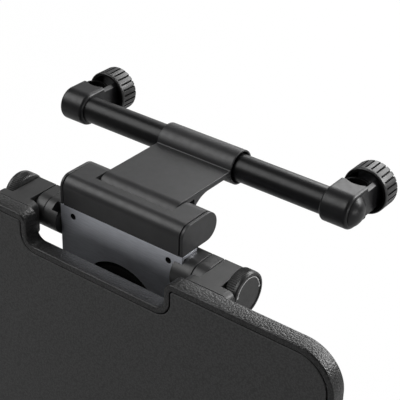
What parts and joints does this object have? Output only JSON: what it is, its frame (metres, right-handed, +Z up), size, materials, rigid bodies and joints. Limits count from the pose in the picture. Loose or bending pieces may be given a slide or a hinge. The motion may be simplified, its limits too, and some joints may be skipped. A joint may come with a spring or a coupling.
{
  "type": "headrest phone holder",
  "caption": "Folding tray and rest for phones that hangs behind a car seat: telescopic bar with screw clamps for the headrest posts, swing arm, hinge block and tilting padded board.",
  "frame": {"origin": "on the bar's axis, midway between the two headrest posts", "axes": "+X along the bar to the passenger's right, +Y forward towards the seat's headrest posts, +Z up"},
  "size_m": [0.2686, 0.1135, 0.2175],
  "materials": {
    "steel": "brushed",
    "brass": "plain",
    "bar_plastic": "matt",
    "bar_paint": "satin black",
    "hook_plastic": "satin black",
    "knob_plastic": "satin black, ribbed",
    "pad_rubber": "matt",
    "arm_plastic": "satin black",
    "hinge_plastic": "satin black",
    "plate_steel": "satin grey",
    "tray_plastic": "fine leather grain",
    "tray_mat": "fine leather grain"
  },
  "bodies": {
    "bar": {"core_tube": "steel", "centre_bush": "bar_plastic"},
    "left_hook_body": {"left_tube": "bar_paint", "left_hook": "hook_plastic", "left_hook_cap": "hook_plastic", "left_hook_screw": "steel"},
    "right_hook_body": {"right_tube": "bar_paint", "right_hook": "hook_plastic", "right_hook_cap": "hook_plastic", "right_hook_screw": "steel"},
    "left_jaw": {"left_clamp_pad": "pad_rubber"},
    "right_jaw": {"right_clamp_pad": "pad_rubber"},
    "left_clamp": {"left_clamp_screw": "steel", "left_clamp_knob": "knob_plastic"},
    "right_clamp": {"right_clamp_screw": "steel", "right_clamp_knob": "knob_plastic"},
    "swing_arm": {"arm": "arm_plastic"},
    "block": {"hinge_block": "arm_plastic", "block_pin": "steel", "left_block_cap": "arm_plastic", "right_block_cap": "arm_plastic", "left_arm_washer": "steel", "right_arm_washer": "steel", "mount_plate": "plate_steel", "plate_screws": "steel", "rest_pad": "pad_rubber", "left_fixed_knuckle": "hinge_plastic", "right_fixed_knuckle": "hinge_plastic", "left_friction_ring": "hinge_plastic", "right_friction_ring": "hinge_plastic", "left_hinge_bolt": "steel", "right_hinge_bolt": "steel"},
    "tray": {"left_tray_bracket": "hinge_plastic", "right_tray_bracket": "hinge_plastic", "bracket_screws": "steel", "tray_shell": "tray_plastic", "tray_mat": "tray_mat"},
    "left_tilt": {"left_tilt_knob": "knob_plastic", "left_knob_nut": "brass", "left_knob_face": "knob_plastic"},
    "right_tilt": {"right_tilt_knob": "knob_plastic", "right_knob_nut": "brass", "right_knob_face": "knob_plastic"}
  },
  "joints": [
    {"name": "left_tube_slide", "type": "slide", "parent": "bar", "child": "left_hook_body", "axis": [-1, 0, 0], "range_m": [-0.0075, 0.008]},
    {"name": "right_tube_slide", "type": "slide", "parent": "bar", "child": "right_hook_body", "axis": [1, 0, 0], "range_m": [-0.0075, 0.008]},
    {"name": "left_jaw_slide", "type": "slide", "parent": "left_hook_body", "child": "left_jaw", "axis": [0, 1, 0], "range_m": [0, 0.0059]},
    {"name": "right_jaw_slide", "type": "slide", "parent": "right_hook_body", "child": "right_jaw", "axis": [0, 1, 0], "range_m": [0, 0.0059]},
    {"name": "left_clamp_turn", "type": "hinge", "parent": "left_jaw", "child": "left_clamp", "pos_m": [-0.0815, 0.025, 0], "axis": [0, 1, 0], "range_deg": [0, 2100]},
    {"name": "right_clamp_turn", "type": "hinge", "parent": "right_jaw", "child": "right_clamp", "pos_m": [0.0815, 0.025, 0], "axis": [0, 1, 0], "range_deg": [0, 2100]},
    {"name": "arm_swing", "type": "hinge", "parent": "bar", "child": "swing_arm", "pos_m": [0, 0, 0], "axis": [1, 0, 0], "range_deg": [-45, 60]},
    {"name": "block_tilt", "type": "hinge", "parent": "swing_arm", "child": "block", "pos_m": [0, -0.046, -0.0064], "axis": [1, 0, 0], "range_deg": [-45, 30]},
    {"name": "tray_tilt", "type": "hinge", "parent": "block", "child": "tray", "pos_m": [0, -0.0576, -0.023], "axis": [-1, 0, 0], "range_deg": [0, 90]},
    {"name": "left_tilt_turn", "type": "hinge", "parent": "block", "child": "left_tilt", "pos_m": [-0.067, -0.0576, -0.023], "axis": [-1, 0, 0], "range_deg": [-180, 180]},
    {"name": "right_tilt_turn", "type": "hinge", "parent": "block", "child": "right_tilt", "pos_m": [0.067, -0.0576, -0.023], "axis": [1, 0, 0], "range_deg": [-180, 180]}
  ],
  "couplings": [
    {"joint": "left_jaw_slide", "follows": "left_clamp_turn", "m_per_rad": 0.00015915},
    {"joint": "right_jaw_slide", "follows": "right_clamp_turn", "m_per_rad": 0.00015915}
  ]
}
